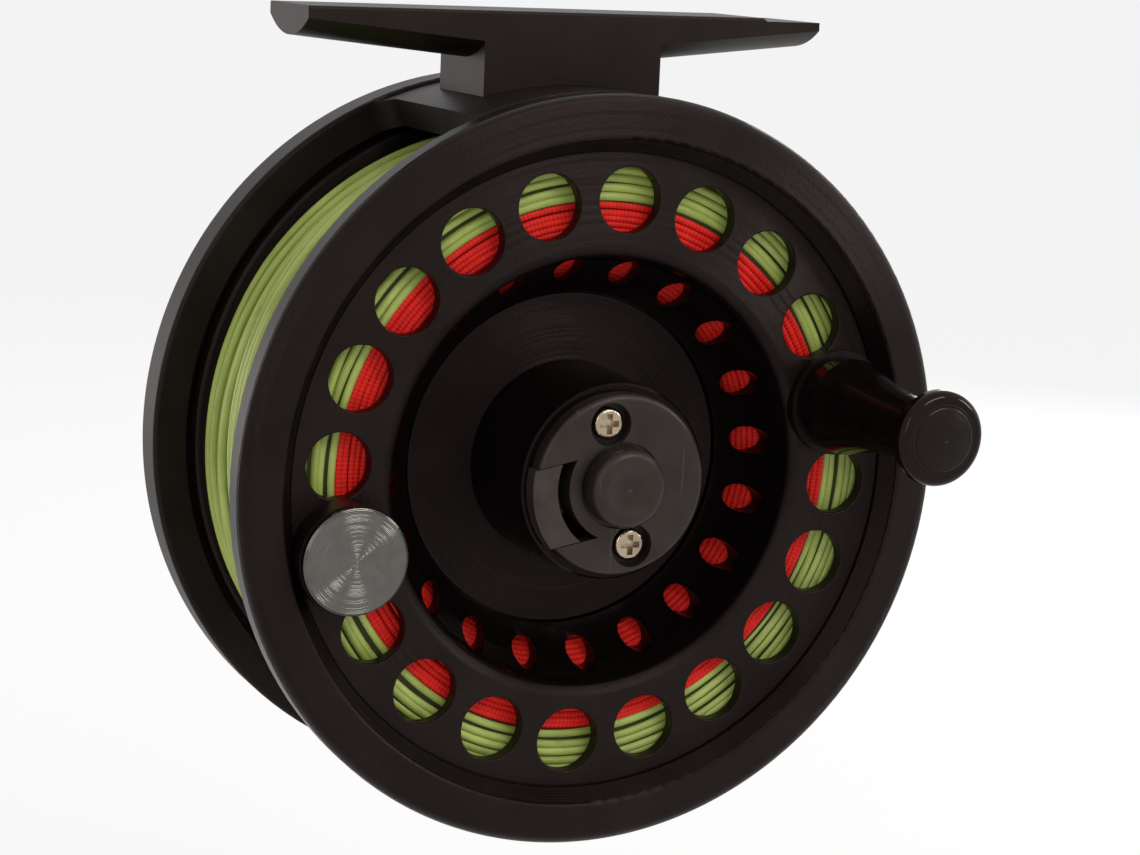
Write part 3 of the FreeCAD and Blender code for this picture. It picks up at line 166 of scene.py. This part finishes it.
def hard_anodised(name, dark, pale, rough):
    """Blasted and anodised aluminium: mottled colour, fine speckle and a fine toothed surface."""
    material, start = new_material(name)
    place = start.object_place()
    cloud = start.noise(place, 110, 4)
    speck = start.noise(place, 3800, 2)
    tooth = start.noise(place, 2400, 3)
    colour = start.blend(cloud.between(0.3, 0.7), dark, pale)
    colour = start.blend(speck.between(0.62, 0.8) * 0.35, colour, [shade * 2.6 for shade in pale])
    return coat_with(
        material, start, Base_Color=colour, Roughness=rough + cloud * 0.1 + speck * 0.06,
        Specular_IOR_Level=0.15, Specular_Tint=WARM, Normal=start.bump(tooth, 0.000018))


casting = hard_anodised("casting_black", (0.0055, 0.0038, 0.0032), (0.0095, 0.0072, 0.0062), 0.36)
for part in ("frame", "reel_foot"):
    dress(nodes[part], casting)


# ---- Spool ----------------------------------------------------------------------------------------
# The spool is turned from one bar. Its rim, pierced face and web keep a fine lathe grain under matt
# anodising; the bowl between them and the hub tower's side are polished to a deep gloss black.

hub = Vector(next(joint["pos_m"] for joint in frame["joints"] if joint["name"] == "spool_spin"))
BOWL_INNER = 0.0196
BOWL_OUTER = 0.0252
FACE_DEPTH = 0.002
TOWER_RADIUS = 0.0117
WEB_DEPTH = 0.0116
LATHE_PITCH = 0.00013


def round_axis(start, centre):
    """A point's radius from the axis through centre along Y, and its place seen from centre."""
    place = start.node("VectorMath", {0: start.object_place(), 1: tuple(centre)}, operation="SUBTRACT")
    flat = start.node("VectorMath", {0: place, 1: (1, 0, 1)}, operation="MULTIPLY")
    return start.node("VectorMath", {0: flat}, output="Value", operation="LENGTH"), place


def lathe_grain(start, radius, pitch):
    """Height of a turned face: fine rings of uneven strength."""
    rings = start.maths("SINE", radius * (2 * math.pi / pitch))
    strength = start.noise(start.node("CombineXYZ", {0: radius}), 1900, 2)
    return rings * strength * 0.5 + 0.5


spool_finish, start = new_material("spool_black")
radius, place = round_axis(start, hub)
depth = start.node("SeparateXYZ", {0: place}, output="Y")
inside_bowl = radius.between(BOWL_INNER - 0.0002, BOWL_INNER)
inside_bowl = inside_bowl * (1 - radius.between(BOWL_OUTER, BOWL_OUTER + 0.0006))
below_face = depth.between(FACE_DEPTH + 0.0001, FACE_DEPTH + 0.0012)
on_tower = 1 - radius.between(TOWER_RADIUS, TOWER_RADIUS + 0.0001)
on_tower = on_tower * (1 - depth.between(WEB_DEPTH - 0.0001, WEB_DEPTH))
gloss = start.maths("MAXIMUM", inside_bowl * below_face, on_tower)
cloud = start.noise(place, 120, 4)
speck = start.noise(place, 4200, 2)
matt = start.blend(cloud.between(0.3, 0.7), (0.003, 0.0018, 0.0017), (0.0056, 0.0038, 0.0036))
matt = start.blend(speck.between(0.62, 0.8) * 0.3, matt, (0.034, 0.028, 0.026))
tooth = start.noise(place, 2600, 3)
height = lathe_grain(start, radius, LATHE_PITCH) * 0.6 + tooth * 0.4
turned = surface(
    start, Base_Color=matt, Roughness=0.24 + cloud * 0.08 + speck * 0.05, Specular_IOR_Level=0.14,
    Specular_Tint=WARM, Normal=start.bump(height, 0.00005))
buffed = surface(
    start, Base_Color=(0.0028, 0.0016, 0.0016, 1), Roughness=0.1, Specular_IOR_Level=0.1,
    Specular_Tint=WARM)
start.node("OutputMaterial", {"Surface": start.node("MixShader", {0: gloss, 1: turned, 2: buffed})})
dress(nodes["spool"], spool_finish)


# ---- Backing --------------------------------------------------------------------------------------
# Red braided backing fills the lower half of the spool. Only its front turns show, through the face's
# holes and through the small holes of the bowl, so those are laid as separate braided cords.

def hoops(name, radii, depths, half, sides, picks):
    """A bundle of closed turns round the axis, each a tube.

    radii and depths are arrays with a row for each turn and a column for each step round it. A point
    lies at its turn's radius plus half * cos(a) and its depth plus half * sin(a), for a round the tube.
    u runs round the axis, picks times, and v round the tube, one whole number further for each turn.
    """
    turns, steps = radii.shape
    angle = np.linspace(0, 2 * math.pi, steps, endpoint=False)[None, :, None]
    across = np.linspace(0, 2 * math.pi, sides, endpoint=False)[None, None, :]
    reach = radii[:, :, None] + half * np.cos(across)
    points = np.stack([hub.x + reach * np.cos(angle), hub.y + depths[:, :, None] + half * np.sin(across)
                       + 0 * angle, hub.z + reach * np.sin(angle)], axis=-1)
    turn, step, side = np.meshgrid(np.arange(turns), np.arange(steps), np.arange(sides), indexing="ij")
    corners = ((0, 0), (0, 1), (1, 1), (1, 0))
    quads = np.stack([(turn * steps + (step + a) % steps) * sides + (side + b) % sides
                      for a, b in corners], axis=-1).reshape(-1, 4)
    uv = np.stack([np.stack([(step + a) / steps * picks, turn + (side + b) / sides], axis=-1)
                   for a, b in corners], axis=-2)
    mesh = bpy.data.meshes.new(name)
    mesh.from_pydata(points.reshape(-1, 3), [], quads)
    mesh.uv_layers.new(name="wound")
    mesh.uv_layers["wound"].data.foreach_set("uv", uv.astype(np.float32).ravel())
    mesh.polygons.foreach_set("use_smooth", np.ones(len(quads), dtype=bool))
    piece = bpy.data.objects.new(name, mesh)
    bpy.context.collection.objects.link(piece)
    return piece


def waver(turns, steps, size, waves, seed):
    """Slow wandering round each turn: a sum of a few sine waves with seeded sizes and phases."""
    chance = np.random.default_rng(seed)
    angle = np.linspace(0, 2 * math.pi, steps, endpoint=False)
    wave = np.arange(1, waves + 1)[None, :, None]
    phase = chance.uniform(0, 2 * math.pi, (turns, waves, 1))
    amount = chance.normal(0, 1, (turns, waves, 1)) / wave
    return size * (amount * np.sin(wave * angle + phase)).sum(axis=1)


CORD = 0.00076
LINE_FRONT = 0.0042
BACKING_RADIUS = 0.0305
BOWL_CENTRE = (0.015, 0.00293)
BOWL_OUTSIDE = 0.0109
cord_steps = 300
front_radii = np.arange(BACKING_RADIUS - CORD / 2, 0.0262, -CORD * 0.94)
front_depths = np.full_like(front_radii, LINE_FRONT + CORD / 2)
bowl_angles = np.arange(math.radians(10), math.radians(60), CORD * 0.94 / (BOWL_OUTSIDE + CORD / 2))
bowl_radii = BOWL_CENTRE[0] + (BOWL_OUTSIDE + CORD * 0.62) * np.cos(bowl_angles)
bowl_depths = BOWL_CENTRE[1] + (BOWL_OUTSIDE + CORD * 0.62) * np.sin(bowl_angles)
cord_radii = np.concatenate([front_radii, bowl_radii])[:, None]
cord_depths = np.concatenate([front_depths, bowl_depths])[:, None]
still = np.concatenate([np.ones(len(front_radii)), np.full(len(bowl_radii), 0.3)])[:, None]
count = len(cord_radii)
backing_turns = hoops(
    "backing_turns", cord_radii + waver(count, cord_steps, 0.00009, 6, 3) * still,
    cord_depths + np.abs(waver(count, cord_steps, 0.00012, 6, 4)) * still, CORD * 0.54, 8, 190)
braid, start = new_material("backing_braid")
along = start.node("SeparateXYZ", {0: start.node("TexCoord", {}, output="UV")}, output="X")
round_cord = start.node("SeparateXYZ", {0: start.node("TexCoord", {}, output="UV")}, output="Y")
one_way = start.maths("SINE", (along + round_cord) * (2 * math.pi))
other_way = start.maths("SINE", (along - round_cord) * (2 * math.pi))
weave = one_way * other_way * 0.5 + 0.5
fray = start.noise(start.object_place(), 900, 3)
# The braid's red is painted darker in the weave's hollows and lighter on its crowns, as painted shade and
# painted highlight; the fray noise darkens it in random patches.
weave_shade_and_fray = start.blend(weave.between(0.15, 0.95), (0.56, 0.006, 0.003), (0.86, 0.022, 0.011))
weave_shade_and_fray = start.blend(fray.between(0.35, 0.75) * 0.35, weave_shade_and_fray, (0.4, 0.004, 0.002))
coat_with(
    braid, start, Base_Color=weave_shade_and_fray, Roughness=0.5 + fray * 0.2, Specular_IOR_Level=0.25,
    Normal=start.bump(weave + fray * 0.2, 0.00005))
dress(backing_turns, braid)
# The backing's core under the cords is painted a much darker red, as painted shade between the cords.
shaded, start = new_material("backing_shade")
deep = start.noise(start.object_place(), 900, 3)
coat_with(
    shaded, start, Base_Color=start.blend(deep, (0.05, 0.001, 0.0005), (0.13, 0.003, 0.0015)), Roughness=0.8,
    Specular_IOR_Level=0.1)
dress(nodes["backing"], shaded)
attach(backing_turns, "spool")


# ---- Fly line -------------------------------------------------------------------------------------
# The coated fly line lies over the backing in about seven layers. Its front face shows through the
# holes, and its top layer between the flanges, wound by hand: turns bunch and cross at low angles.

LINE = 0.00112
LINE_BACK = 0.0292
LINE_TOP = 0.0367
line_steps = 264
turn_angle = np.linspace(0, 2 * math.pi, line_steps, endpoint=False)[None, :]
side_radii = np.arange(BACKING_RADIUS + LINE / 2, LINE_TOP - LINE * 0.3, LINE * 0.93)[:, None]
side_count = len(side_radii)
side_turns = side_radii + waver(side_count, line_steps, 0.00022, 7, 11)
side_depths = LINE_FRONT + LINE / 2 + np.abs(waver(side_count, line_steps, 0.00022, 5, 12))


def heap(depths):
    """Radius of the wound line's outside: fullest at the back, and lower on one side of the spool."""
    back = (depths - LINE_FRONT) / (LINE_BACK - LINE_FRONT)
    lean = np.cos(turn_angle - math.radians(222))
    return LINE_TOP - LINE / 2 + back * (0.0001 + 0.0007 * lean) + 0.00035 * np.sin(math.pi * back)


top_start = np.arange(LINE_FRONT + LINE / 2, LINE_BACK - LINE / 2, LINE * 0.95)[:, None]
top_count = len(top_start)
room = np.minimum(top_start - LINE_FRONT - LINE / 2, LINE_BACK - LINE / 2 - top_start)
top_depths = top_start + np.clip(waver(top_count, line_steps, 0.00035, 3, 21), -room, room)
top_turns = heap(top_depths) + waver(top_count, line_steps, 0.00012, 6, 22)
LOOSE_TURNS = 15
loose_start = np.linspace(LINE_FRONT + 0.002, LINE_BACK - 0.002, LOOSE_TURNS)[:, None]
loose_depths = loose_start + waver(LOOSE_TURNS, line_steps, 0.0021, 2, 35)
loose_depths = np.clip(loose_depths, LINE_FRONT + LINE / 2, LINE_BACK - LINE / 2)
loose_turns = heap(loose_depths) + LINE * 0.5 + waver(LOOSE_TURNS, line_steps, 0.00018, 4, 36)
line_turns = hoops(
    "line_turns", np.concatenate([side_turns, top_turns, loose_turns]),
    np.concatenate([side_depths, top_depths, loose_depths]), LINE / 2, 8, 60)
coated, start = new_material("line_coating")
wound = start.node("TexCoord", {}, output="UV")
stretched = start.node("VectorMath", {0: wound, 1: (0.35, 1.7, 1)}, operation="MULTIPLY")
tone = start.noise(stretched, 1.0, 2)
dirt = start.noise(start.object_place(), 420, 4)
green = start.blend(tone.between(0.3, 0.7), (0.235, 0.295, 0.05), (0.345, 0.42, 0.095))
green = start.blend(dirt.between(0.55, 0.8) * 0.3, green, (0.13, 0.155, 0.036))
coat_with(
    coated, start, Base_Color=green, Roughness=0.36 + dirt * 0.16, Specular_IOR_Level=0.45,
    Normal=start.bump(start.noise(start.object_place(), 2600, 2), 0.00002))
dress(line_turns, coated)
# The line's core under the turns is painted dark green, as painted shade between the turns.
gaps, start = new_material("line_shade")
deep = start.noise(start.object_place(), 700, 3)
coat_with(
    gaps, start, Base_Color=start.blend(deep, (0.012, 0.015, 0.004), (0.03, 0.037, 0.01)), Roughness=0.7,
    Specular_IOR_Level=0.15)
dress(nodes["fly_line"], gaps)
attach(line_turns, "spool")


# ---- Hub cap, latch and their screws --------------------------------------------------------------
# A satin anodised cap closes the hub. It carries a dished centre button and the tab of the spool's
# release, which is rubbed by thumbs, and is held by two stainless pan head screws.

def satin_cap(name, dark, pale, rough):
    """Satin anodising that hands have polished in patches, with faint scratches."""
    material, start = new_material(name)
    place = start.object_place()
    cloud = start.noise(place, 260, 4)
    speck = start.noise(place, 5200, 2)
    stretched = start.node("Mapping", {"Vector": place, "Rotation": (0, 0.5, 0), "Scale": (900, 900, 60)})
    scratch = start.noise(stretched, 1.0, 2)
    colour = start.blend(cloud.between(0.3, 0.7), dark, pale)
    colour = start.blend(scratch.between(0.66, 0.74) * 0.3, colour, (0.09, 0.082, 0.074))
    return coat_with(
        material, start, Base_Color=colour, Roughness=rough + cloud * 0.12 + speck * 0.05,
        Specular_IOR_Level=0.3, Specular_Tint=WARM, Normal=start.bump(speck, 0.000008))


cap_finish = satin_cap("cap_satin", (0.0105, 0.0088, 0.0078), (0.018, 0.0155, 0.014), 0.28)
for part in ("hub_cap", "spindle_cap"):
    dress(nodes[part], cap_finish)
dress(nodes["release_latch"], satin_cap("tab_worn", (0.018, 0.0155, 0.014), (0.034, 0.03, 0.027), 0.34))


def bright_metal(name, colour, rough, scratch_depth=0.000003):
    """Bare metal with fine scratches and a few duller patches."""
    material, start = new_material(name)
    place = start.object_place()
    cloud = start.noise(place, 500, 3)
    scratch = start.noise(start.node("Mapping", {"Vector": place, "Scale": (5000, 600, 5000)}), 1.0, 2)
    worn = start.blend(cloud.between(0.3, 0.8), colour, [shade * 0.72 for shade in colour])
    return coat_with(
        material, start, Base_Color=worn, Roughness=rough + cloud * 0.14, Metallic=1.0,
        Normal=start.bump(scratch, scratch_depth))


screw_steel = bright_metal("screw_steel", (0.42, 0.34, 0.25), 0.12, 0.00004)
dress(nodes["hub_cap_screws"], screw_steel)


# ---- Latch spring ---------------------------------------------------------------------------------
# A short spring behind the cap returns the tab. It lies along the tab's slide, with its far end against
# the hub's wall. The share of its length left at the tab's full travel is worked out, but nothing uses it.

pressed = next(joint for joint in frame["joints"] if joint["name"] == "latch_slide")
slide_way = Vector(pressed["axis"]).normalized()
welded = bmesh.new()
welded.from_mesh(nodes["latch_spring"].data)
bmesh.ops.remove_doubles(welded, verts=welded.verts, dist=1e-7)
ends = sorted(welded.verts, key=lambda corner: corner.co.dot(slide_way))
spring_length = (ends[-1].co - ends[0].co).dot(slide_way)
spring_mesh = bpy.data.meshes.new("return_spring")
welded.to_mesh(spring_mesh)
welded.free()
return_spring = bpy.data.objects.new("return_spring", spring_mesh)
bpy.context.collection.objects.link(return_spring)
dress(return_spring, screw_steel)
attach(return_spring, "spool")
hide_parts("latch_spring")
1 - max(pressed["range_m"]) / spring_length
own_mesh(return_spring)


# ---- Counterweight --------------------------------------------------------------------------------
# A solid steel button balances the handle. Its face is left bright from the lathe, and the fine rings
# spread each light into two wedges.

weight_low, weight_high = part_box("counterweight")
spun, start = new_material("spun_steel")
reach, place = round_axis(start, (weight_low + weight_high) / 2)
GROOVE_PITCH = 0.00014
grooves = start.maths("SINE", reach * (2 * math.pi / GROOVE_PITCH))
uneven = start.noise(start.node("CombineXYZ", {0: reach}), 9000, 1)
stain = start.noise(place, 700, 4)
coat_with(
    spun, start, Base_Color=start.blend(stain.between(0.35, 0.8), (0.12, 0.115, 0.104), (0.1, 0.095, 0.086)),
    Roughness=0.13 + stain * 0.05, Metallic=1.0,
    Normal=start.bump(grooves * uneven * 0.5 + 0.5, 0.000042))
dress(nodes["counterweight"], spun)


# ---- Handle ---------------------------------------------------------------------------------------
# The handle is turned from acetal and buffed: deep black with a warm tint, glossy enough to mirror the
# lights as long streaks. A snap-in plug closes its end.

polished, start = new_material("handle_gloss")
smear = start.noise(start.object_place(), 380, 3)
deep_black = start.blend(smear.between(0.3, 0.7), (0.0028, 0.0016, 0.0015), (0.0048, 0.0028, 0.0026))
coat_with(
    polished, start, Base_Color=deep_black, Roughness=0.06 + smear * 0.1, Specular_IOR_Level=0.16,
    Specular_Tint=WARM)
for part in ("handle_knob", "drag_knob", "drag_cover"):
    dress(nodes[part], polished)
plug_low, plug_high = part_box("handle_end_cap")
plug_radius = (plug_high.x - plug_low.x) / 2
plug, start = new_material("plug_satin")
PLUG_PITCH = 0.00016
reach = round_axis(start, (plug_low + plug_high) / 2)[0]
rings = lathe_grain(start, reach, PLUG_PITCH)
# A ring at the plug's edge is sunk as a groove by the bump, and its colour is painted darker there as
# painted shade in that groove.
seam_groove_shade = reach.between(plug_radius * 0.86, plug_radius * 0.9)
seam_groove_shade = seam_groove_shade * (1 - reach.between(plug_radius * 0.93, plug_radius * 0.97))
coat_with(
    plug, start, Base_Color=start.blend(seam_groove_shade, (0.005, 0.0042, 0.0038), (0.0015, 0.001, 0.001)),
    Roughness=0.26, Specular_IOR_Level=0.16, Specular_Tint=WARM,
    Normal=start.bump(rings * 0.2 + (1 - seam_groove_shade) * 0.8, 0.00006))
dress(nodes["handle_end_cap"], plug)


# ---- Shaft, drag and click ------------------------------------------------------------------------
# What turns and brakes the spool is ground steel, bronze and brass, with black carbon discs and white
# acetal where pieces rub. Little of it shows, through the ports and behind the drag knob.

ground = bright_metal("ground_steel", (0.56, 0.55, 0.54), 0.24)
for part in ("spindle", "spindle_screws", "foot_screws", "pressure_plate", "knob_screw", "pawl_pin",
             "pawl_spring", "one_way_bearing", "click_ring", "latch_spring", "counterweight_screw",
             "handle_pin", "drag_rotor", "push_pins", "drag_spring"):
    dress(nodes[part], ground)
bush_bronze = bright_metal("bush_bronze", (0.55, 0.36, 0.19), 0.3)
for part in ("front_bush", "rear_bush"):
    dress(nodes[part], bush_bronze)
dress(nodes["drag_nut"], bright_metal("nut_brass", (0.78, 0.6, 0.3), 0.25))


def plain_plastic(name, dark, pale, rough, weave_pitch=None):
    """Moulded plastic with a faint mottle, or woven sheet where a pitch is given."""
    material, start = new_material(name)
    place = start.object_place()
    cloud = start.noise(place, 600, 3)
    height = cloud
    if weave_pitch:
        checks = start.node("TexChecker", {"Vector": place, "Scale": 1 / weave_pitch}, output="Fac")
        height = checks * 0.7 + cloud * 0.3
    return coat_with(
        material, start, Base_Color=start.blend(height, dark, pale), Roughness=rough + cloud * 0.15,
        Normal=start.bump(height, 0.00002))


carbon = plain_plastic("carbon_weave", (0.012, 0.012, 0.012), (0.05, 0.05, 0.05), 0.4, 0.0012)
dress(nodes["drag_discs"], carbon)
acetal = plain_plastic("acetal_white", (0.62, 0.61, 0.57), (0.75, 0.74, 0.7), 0.35)
for part in ("handle_washer", "click_pawl"):
    dress(nodes[part], acetal)


# ---- Studio ---------------------------------------------------------------------------------------
# A pale floor in a white room, evenly lit. Soft boxes stand in front, above and below the line of
# sight, so that the turned faces catch them above and below the hub, and others light its sides and back.

def softbox(name, across, up, toward, distance, power, tint=(1, 0.97, 0.94)):
    """A rectangular soft light that far from the hub, in the direction given, aimed at the hub."""
    lamp = bpy.data.lights.new(name, "AREA")
    lamp.shape = "RECTANGLE"
    lamp.size = across
    lamp.size_y = up
    lamp.energy = power
    lamp.color = tint
    light = bpy.data.objects.new(name, lamp)
    light.location = hub + Vector(toward).normalized() * distance
    light.rotation_euler = (hub - light.location).to_track_quat("-Z", "Y").to_euler()
    bpy.context.collection.objects.link(light)


softbox("top_front", 0.3, 0.12, (0.3, -0.72, 0.6), 0.6, 1.15)
softbox("low_front", 0.26, 0.1, (0.2, -0.72, -0.6), 0.55, 0.6)
softbox("right_front", 0.12, 0.16, (0.84, -0.47, 0.28), 0.6, 0.7)
softbox("left_front", 0.14, 0.3, (-0.62, -0.7, 0.32), 0.6, 0.4)
softbox("left_back", 0.2, 0.4, (-0.6, 0.78, -0.1), 0.6, 0.8)
softbox("right_back", 0.2, 0.3, (0.7, 0.66, 0.3), 0.6, 0.8)


def seen_rays(start):
    """1 on the rays that show a surface: straight from the camera, mirrored or through glass."""
    straight = start.node("LightPath", {}, output="Is Camera Ray")
    mirrored = start.node("LightPath", {}, output="Is Glossy Ray")
    through = start.node("LightPath", {}, output="Is Transmission Ray")
    return start.maths("MAXIMUM", straight, start.maths("MAXIMUM", mirrored, through))


world = bpy.data.worlds.new("white_room")
bpy.context.scene.world = world
world.use_nodes = True
world.node_tree.nodes.clear()
air = Wire(world.node_tree)
ROOM_FILL = 0.65
white = air.node("Background", {"Color": (1, 1, 1, 1), "Strength": 1.0})
fill = air.node("Background", {"Color": (1, 1, 1, 1), "Strength": ROOM_FILL})
air.node("OutputWorld", {"Surface": air.node("MixShader", {0: seen_rays(air), 1: fill, 2: white})})

FLOOR_DROP = 0.05
FLOOR_GLOW = 0.72
floor_mesh = bpy.data.meshes.new("floor")
floor_mesh.from_pydata([(-40, -20, 0), (40, -20, 0), (40, 60, 0), (-40, 60, 0)], [], [(0, 1, 2, 3)])
floor_mesh.transform(Matrix.Translation((0, 0, cad_box[0].z - FLOOR_DROP)))
floor = bpy.data.objects.new("floor", floor_mesh)
bpy.context.collection.objects.link(floor)
paper, start = new_material("paper_white")
lit = surface(start, Base_Color=(0.93, 0.93, 0.93, 1), Roughness=0.7, Specular_IOR_Level=0.1)
glow = start.node("Emission", {"Color": (1, 1, 1, 1), "Strength": 1.0})
pale = start.node("MixShader", {0: seen_rays(start) * FLOOR_GLOW, 1: lit, 2: glow})
start.node("OutputMaterial", {"Surface": pale})
dress(floor, paper)


# ---- Camera ---------------------------------------------------------------------------------------
# A short telephoto from the front left, a little above the spool's axis, tilted by a few degrees.

CAMERA_TURN = 25.16
CAMERA_DROP = 10.83
CAMERA_TILT = 2.45
lens = bpy.data.cameras.new("view")
lens.sensor_width = 36
lens.lens = 81.98
lens.clip_start = 0.01
camera = bpy.data.objects.new("view", lens)
turn = Matrix.Rotation(math.radians(-CAMERA_TURN), 4, "Z")
pitch = Matrix.Rotation(math.radians(90 - CAMERA_DROP), 4, "X")
tilt = Matrix.Rotation(math.radians(CAMERA_TILT), 4, "Z")
camera.matrix_world = Matrix.Translation((-0.1247, -0.27515, 0.00908)) @ turn @ pitch @ tilt
bpy.context.collection.objects.link(camera)
scene = bpy.context.scene
scene.camera = camera
scene.view_settings.view_transform = "Standard"
